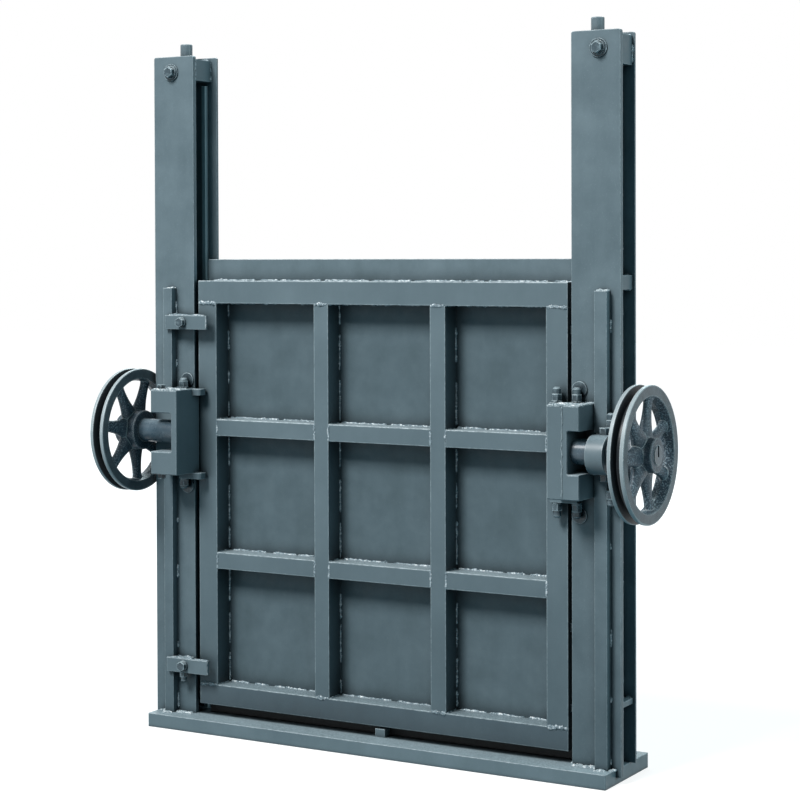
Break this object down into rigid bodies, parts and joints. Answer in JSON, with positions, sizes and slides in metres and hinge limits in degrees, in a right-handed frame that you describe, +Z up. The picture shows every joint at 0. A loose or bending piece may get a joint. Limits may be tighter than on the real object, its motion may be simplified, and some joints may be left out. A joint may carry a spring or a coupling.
{
  "type": "sluice gate",
  "caption": "Welded steel sluice gate: a ribbed sliding leaf between flanged posts on a sill plate, with grooved spoked handwheels on stub shafts.",
  "frame": {"origin": "middle of the sill plate's underside", "axes": "+X along the gate to its right side seen from the front, +Y from the front to the back, +Z up"},
  "size_m": [1.43, 0.382, 1.683],
  "materials": {
    "painted_steel": "blue-grey satin coating on welded plate",
    "cast_wheel": "blue-grey coating on rough casting, rim turned",
    "shaft_steel": "coated turned steel",
    "stem_steel": "coated round bar",
    "fastener_steel": "coated over with the frame",
    "seal_rubber": "black moulded rubber"
  },
  "bodies": {
    "frame": {"sill_plate": "painted_steel", "centre_stop": "painted_steel", "left_front_flange": "painted_steel", "right_front_flange": "painted_steel", "left_rear_flange": "painted_steel", "right_rear_flange": "painted_steel", "left_post_web": "painted_steel", "right_post_web": "painted_steel", "left_top_block": "painted_steel", "right_top_block": "painted_steel", "left_stem": "stem_steel", "right_stem": "stem_steel", "left_top_bolt": "fastener_steel", "right_top_bolt": "fastener_steel", "left_guide_bar": "painted_steel", "right_guide_bar": "painted_steel", "left_seat_strip": "painted_steel", "right_seat_strip": "painted_steel", "left_stiffeners": "painted_steel", "right_stiffeners": "painted_steel", "left_bracket": "painted_steel", "right_bracket": "painted_steel", "left_bracket_bolts": "fastener_steel", "right_bracket_bolts": "fastener_steel", "right_bearing": "painted_steel", "right_bearing_bolts": "fastener_steel", "upper_keeper": "painted_steel", "lower_keeper": "painted_steel", "keeper_bolts": "fastener_steel"},
    "leaf": {"skin_plate": "painted_steel", "left_stile": "painted_steel", "right_stile": "painted_steel", "top_beam": "painted_steel", "bottom_beam": "painted_steel", "left_rib": "painted_steel", "right_rib": "painted_steel", "upper_cross_ribs": "painted_steel", "lower_cross_ribs": "painted_steel", "bottom_seal": "seal_rubber", "guide_pads": "painted_steel"},
    "left_handwheel": {"left_wheel": "cast_wheel", "left_shaft": "shaft_steel"},
    "right_handwheel": {"right_wheel": "cast_wheel", "right_shaft": "shaft_steel"}
  },
  "joints": [
    {"name": "leaf_slide", "type": "slide", "parent": "frame", "child": "leaf", "axis": [0, 0, 1], "range_m": [0, 0.5]},
    {"name": "left_wheel_turn", "type": "hinge", "parent": "frame", "child": "left_handwheel", "pos_m": [-0.655, -0.115, 0.73188], "axis": [1, 0, 0], "continuous": true},
    {"name": "right_wheel_turn", "type": "hinge", "parent": "frame", "child": "right_handwheel", "pos_m": [0.705, -0.115, 0.73188], "axis": [1, 0, 0], "continuous": true}
  ]
}
